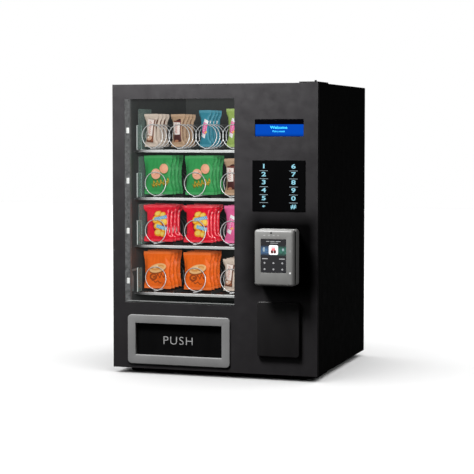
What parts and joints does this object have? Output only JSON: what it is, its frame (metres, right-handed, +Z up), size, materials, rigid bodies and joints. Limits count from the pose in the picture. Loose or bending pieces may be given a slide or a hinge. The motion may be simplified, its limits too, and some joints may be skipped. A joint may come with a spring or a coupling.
{
  "type": "snack vending machine",
  "caption": "Countertop snack vending machine: glazed door with keypad, card reader and push flap, and trays of motor-driven spiral coils.",
  "frame": {"origin": "on the ground, under the middle of the bounding box", "axes": "+Z up, the door faces -Y, +X to the right of someone facing the door"},
  "size_m": [0.6, 0.606, 0.823],
  "materials": {
    "black_steel": "satin charcoal powder coat",
    "dark_steel": "satin dark grey",
    "white_tray": "satin white",
    "wire": "bright zinc plate",
    "glass": "clear safety glass",
    "grey_trim": "fine-textured grey",
    "black_plastic": "gloss black",
    "reader_grey": "fine-grained grey",
    "rubber": "matt black",
    "light_strip": "satin light grey",
    "lock_metal": "plated",
    "film_cream": "printed film",
    "film_tan": "printed film",
    "film_teal": "printed film",
    "film_lime": "printed film",
    "film_green": "printed film",
    "film_red": "glossy printed film",
    "film_pink": "printed film",
    "film_orange": "printed film"
  },
  "bodies": {
    "cabinet": {"side_panel_left": "black_steel", "side_panel_right": "black_steel", "top_panel": "black_steel", "base_panel": "black_steel", "rear_panel": "black_steel", "power_inlet": "black_plastic", "bay_left_wall": "dark_steel", "bay_divider": "dark_steel", "foot_front_left": "rubber", "foot_front_right": "rubber", "foot_rear_left": "rubber", "foot_rear_right": "rubber", "delivery_bin": "dark_steel", "hinge_bracket_top": "black_steel", "hinge_bracket_bottom": "black_steel", "tray_1": "white_tray", "motor_bank_1": "dark_steel", "tray_2": "white_tray", "motor_bank_2": "dark_steel", "tray_3": "white_tray", "motor_bank_3": "dark_steel", "tray_4": "white_tray", "motor_bank_4": "dark_steel"},
    "door": {"door_panel": "black_steel", "window_glass": "glass", "led_strip": "light_strip", "display": "black_plastic", "keypad": "black_plastic", "reader_housing": "reader_grey", "reader_front": "reader_grey", "blanking_cover": "black_steel", "flap_frame": "grey_trim"},
    "flap": {"delivery_flap": "black_plastic"},
    "lock": {"door_lock": "lock_metal"},
    "coil_1_1": {"coil_1_1": "wire"},
    "snacks_1_1": {"snacks_1_1": "film_cream"},
    "coil_1_2": {"coil_1_2": "wire"},
    "snacks_1_2": {"snacks_1_2": "film_tan"},
    "coil_1_3": {"coil_1_3": "wire"},
    "snacks_1_3": {"snacks_1_3": "film_teal"},
    "coil_1_4": {"coil_1_4": "wire"},
    "snacks_1_4": {"snacks_1_4": "film_lime"},
    "coil_2_1": {"coil_2_1": "wire"},
    "snacks_2_1": {"snacks_2_1": "film_green"},
    "coil_2_2": {"coil_2_2": "wire"},
    "snacks_2_2": {"snacks_2_2": "film_green"},
    "coil_2_3": {"coil_2_3": "wire"},
    "snacks_2_3": {"snacks_2_3": "film_tan"},
    "coil_3_1": {"coil_3_1": "wire"},
    "snacks_3_1": {"snacks_3_1": "film_red"},
    "coil_3_2": {"coil_3_2": "wire"},
    "snacks_3_2": {"snacks_3_2": "film_red"},
    "coil_3_3": {"coil_3_3": "wire"},
    "snacks_3_3": {"snacks_3_3": "film_pink"},
    "coil_4_1": {"coil_4_1": "wire"},
    "snacks_4_1": {"snacks_4_1": "film_orange"},
    "coil_4_2": {"coil_4_2": "wire"},
    "snacks_4_2": {"snacks_4_2": "film_orange"},
    "coil_4_3": {"coil_4_3": "wire"},
    "snacks_4_3": {"snacks_4_3": "film_cream"}
  },
  "joints": [
    {"name": "door_hinge", "type": "hinge", "parent": "cabinet", "child": "door", "pos_m": [0.291, -0.235, 0.416], "axis": [0, 0, 1], "range_deg": [0, 110]},
    {"name": "flap_hinge", "type": "hinge", "parent": "door", "child": "flap", "pos_m": [-0.10275, -0.236, 0.151], "axis": [1, 0, 0], "range_deg": [0, 65]},
    {"name": "lock_turn", "type": "hinge", "parent": "cabinet", "child": "lock", "pos_m": [-0.292, -0.195, 0.3], "axis": [1, 0, 0], "range_deg": [0, 90]},
    {"name": "coil_spin_1_1", "type": "hinge", "parent": "cabinet", "child": "coil_1_1", "pos_m": [-0.226, -0.139, 0.67], "axis": [0, -1, 0], "range_deg": [0, 360]},
    {"name": "snack_feed_1_1", "type": "slide", "parent": "cabinet", "child": "snacks_1_1", "axis": [0, -1, 0], "range_m": [0, 0.03]},
    {"name": "coil_spin_1_2", "type": "hinge", "parent": "cabinet", "child": "coil_1_2", "pos_m": [-0.144, -0.139, 0.67], "axis": [0, -1, 0], "range_deg": [0, 360]},
    {"name": "snack_feed_1_2", "type": "slide", "parent": "cabinet", "child": "snacks_1_2", "axis": [0, -1, 0], "range_m": [0, 0.03]},
    {"name": "coil_spin_1_3", "type": "hinge", "parent": "cabinet", "child": "coil_1_3", "pos_m": [-0.062, -0.139, 0.67], "axis": [0, -1, 0], "range_deg": [0, 360]},
    {"name": "snack_feed_1_3", "type": "slide", "parent": "cabinet", "child": "snacks_1_3", "axis": [0, -1, 0], "range_m": [0, 0.03]},
    {"name": "coil_spin_1_4", "type": "hinge", "parent": "cabinet", "child": "coil_1_4", "pos_m": [0.02, -0.139, 0.67], "axis": [0, -1, 0], "range_deg": [0, 360]},
    {"name": "snack_feed_1_4", "type": "slide", "parent": "cabinet", "child": "snacks_1_4", "axis": [0, -1, 0], "range_m": [0, 0.03]},
    {"name": "coil_spin_2_1", "type": "hinge", "parent": "cabinet", "child": "coil_2_1", "pos_m": [-0.217, -0.139, 0.533], "axis": [0, -1, 0], "range_deg": [0, 360]},
    {"name": "snack_feed_2_1", "type": "slide", "parent": "cabinet", "child": "snacks_2_1", "axis": [0, -1, 0], "range_m": [0, 0.03]},
    {"name": "coil_spin_2_2", "type": "hinge", "parent": "cabinet", "child": "coil_2_2", "pos_m": [-0.096, -0.139, 0.533], "axis": [0, -1, 0], "range_deg": [0, 360]},
    {"name": "snack_feed_2_2", "type": "slide", "parent": "cabinet", "child": "snacks_2_2", "axis": [0, -1, 0], "range_m": [0, 0.03]},
    {"name": "coil_spin_2_3", "type": "hinge", "parent": "cabinet", "child": "coil_2_3", "pos_m": [0.013, -0.139, 0.533], "axis": [0, -1, 0], "range_deg": [0, 360]},
    {"name": "snack_feed_2_3", "type": "slide", "parent": "cabinet", "child": "snacks_2_3", "axis": [0, -1, 0], "range_m": [0, 0.03]},
    {"name": "coil_spin_3_1", "type": "hinge", "parent": "cabinet", "child": "coil_3_1", "pos_m": [-0.217, -0.139, 0.396], "axis": [0, -1, 0], "range_deg": [0, 360]},
    {"name": "snack_feed_3_1", "type": "slide", "parent": "cabinet", "child": "snacks_3_1", "axis": [0, -1, 0], "range_m": [0, 0.03]},
    {"name": "coil_spin_3_2", "type": "hinge", "parent": "cabinet", "child": "coil_3_2", "pos_m": [-0.096, -0.139, 0.396], "axis": [0, -1, 0], "range_deg": [0, 360]},
    {"name": "snack_feed_3_2", "type": "slide", "parent": "cabinet", "child": "snacks_3_2", "axis": [0, -1, 0], "range_m": [0, 0.03]},
    {"name": "coil_spin_3_3", "type": "hinge", "parent": "cabinet", "child": "coil_3_3", "pos_m": [0.013, -0.139, 0.396], "axis": [0, -1, 0], "range_deg": [0, 360]},
    {"name": "snack_feed_3_3", "type": "slide", "parent": "cabinet", "child": "snacks_3_3", "axis": [0, -1, 0], "range_m": [0, 0.03]},
    {"name": "coil_spin_4_1", "type": "hinge", "parent": "cabinet", "child": "coil_4_1", "pos_m": [-0.217, -0.139, 0.259], "axis": [0, -1, 0], "range_deg": [0, 360]},
    {"name": "snack_feed_4_1", "type": "slide", "parent": "cabinet", "child": "snacks_4_1", "axis": [0, -1, 0], "range_m": [0, 0.03]},
    {"name": "coil_spin_4_2", "type": "hinge", "parent": "cabinet", "child": "coil_4_2", "pos_m": [-0.096, -0.139, 0.259], "axis": [0, -1, 0], "range_deg": [0, 360]},
    {"name": "snack_feed_4_2", "type": "slide", "parent": "cabinet", "child": "snacks_4_2", "axis": [0, -1, 0], "range_m": [0, 0.03]},
    {"name": "coil_spin_4_3", "type": "hinge", "parent": "cabinet", "child": "coil_4_3", "pos_m": [0.013, -0.139, 0.259], "axis": [0, -1, 0], "range_deg": [0, 360]},
    {"name": "snack_feed_4_3", "type": "slide", "parent": "cabinet", "child": "snacks_4_3", "axis": [0, -1, 0], "range_m": [0, 0.03]}
  ],
  "couplings": [
    {"joint": "snack_feed_1_1", "follows": "coil_spin_1_1", "m_per_rad": 0.0047746},
    {"joint": "snack_feed_1_2", "follows": "coil_spin_1_2", "m_per_rad": 0.0047746},
    {"joint": "snack_feed_1_3", "follows": "coil_spin_1_3", "m_per_rad": 0.0047746},
    {"joint": "snack_feed_1_4", "follows": "coil_spin_1_4", "m_per_rad": 0.0047746},
    {"joint": "snack_feed_2_1", "follows": "coil_spin_2_1", "m_per_rad": 0.0047746},
    {"joint": "snack_feed_2_2", "follows": "coil_spin_2_2", "m_per_rad": 0.0047746},
    {"joint": "snack_feed_2_3", "follows": "coil_spin_2_3", "m_per_rad": 0.0047746},
    {"joint": "snack_feed_3_1", "follows": "coil_spin_3_1", "m_per_rad": 0.0047746},
    {"joint": "snack_feed_3_2", "follows": "coil_spin_3_2", "m_per_rad": 0.0047746},
    {"joint": "snack_feed_3_3", "follows": "coil_spin_3_3", "m_per_rad": 0.0047746},
    {"joint": "snack_feed_4_1", "follows": "coil_spin_4_1", "m_per_rad": 0.0047746},
    {"joint": "snack_feed_4_2", "follows": "coil_spin_4_2", "m_per_rad": 0.0047746},
    {"joint": "snack_feed_4_3", "follows": "coil_spin_4_3", "m_per_rad": 0.0047746}
  ]
}
